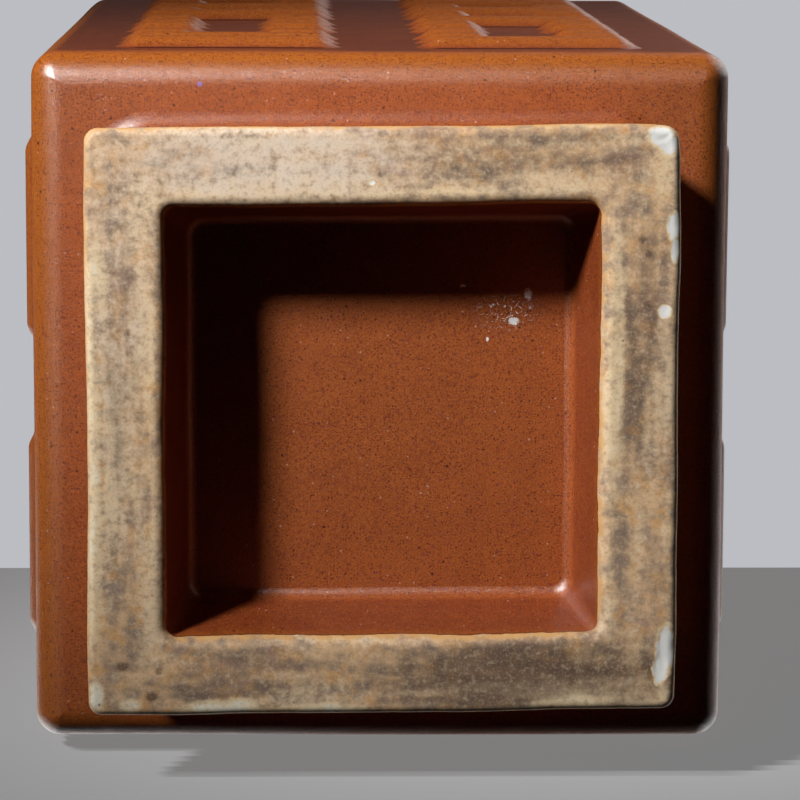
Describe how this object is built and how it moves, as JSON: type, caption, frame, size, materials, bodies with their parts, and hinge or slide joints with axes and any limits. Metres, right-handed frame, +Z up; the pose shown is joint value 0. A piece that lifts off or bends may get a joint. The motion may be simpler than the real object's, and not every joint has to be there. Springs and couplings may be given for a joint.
{
  "type": "cong vase",
  "caption": "Square-section ceramic vase on a square recessed foot, with a short round neck and raised trigram bars in two columns on each face, in brown glaze.",
  "frame": {"origin": "middle of the foot, on the plane of the rim that the vase stands on", "axes": "+Z up through the neck, -Y out of the front face, +X to the right of it"},
  "size_m": [0.1296, 0.1296, 0.266],
  "materials": {
    "glaze": "satin iron-brown glaze with fine dark specks",
    "foot": "bare fired rim with an uneven iron wash, glazed on its sides"
  },
  "bodies": {
    "root": {"wall_right": "glaze", "wall_back": "glaze", "wall_left": "glaze", "wall_front": "glaze", "floor_slab": "glaze", "shoulder_slab": "glaze", "neck_ring": "glaze", "recess_slab": "glaze", "foot_right": "foot", "foot_back": "foot", "foot_left": "foot", "foot_front": "foot", "trigram_right_dui": "glaze", "trigram_right_kun": "glaze", "trigram_right_li": "glaze", "trigram_right_xun": "glaze", "trigram_right_zhen": "glaze", "trigram_right_gen": "glaze", "trigram_right_kan": "glaze", "trigram_right_qian": "glaze", "trigram_back_dui": "glaze", "trigram_back_kun": "glaze", "trigram_back_li": "glaze", "trigram_back_xun": "glaze", "trigram_back_zhen": "glaze", "trigram_back_gen": "glaze", "trigram_back_kan": "glaze", "trigram_back_qian": "glaze", "trigram_left_dui": "glaze", "trigram_left_kun": "glaze", "trigram_left_li": "glaze", "trigram_left_xun": "glaze", "trigram_left_zhen": "glaze", "trigram_left_gen": "glaze", "trigram_left_kan": "glaze", "trigram_left_qian": "glaze", "trigram_front_dui": "glaze", "trigram_front_kun": "glaze", "trigram_front_li": "glaze", "trigram_front_xun": "glaze", "trigram_front_zhen": "glaze", "trigram_front_gen": "glaze", "trigram_front_kan": "glaze", "trigram_front_qian": "glaze"}
  },
  "joints": []
}
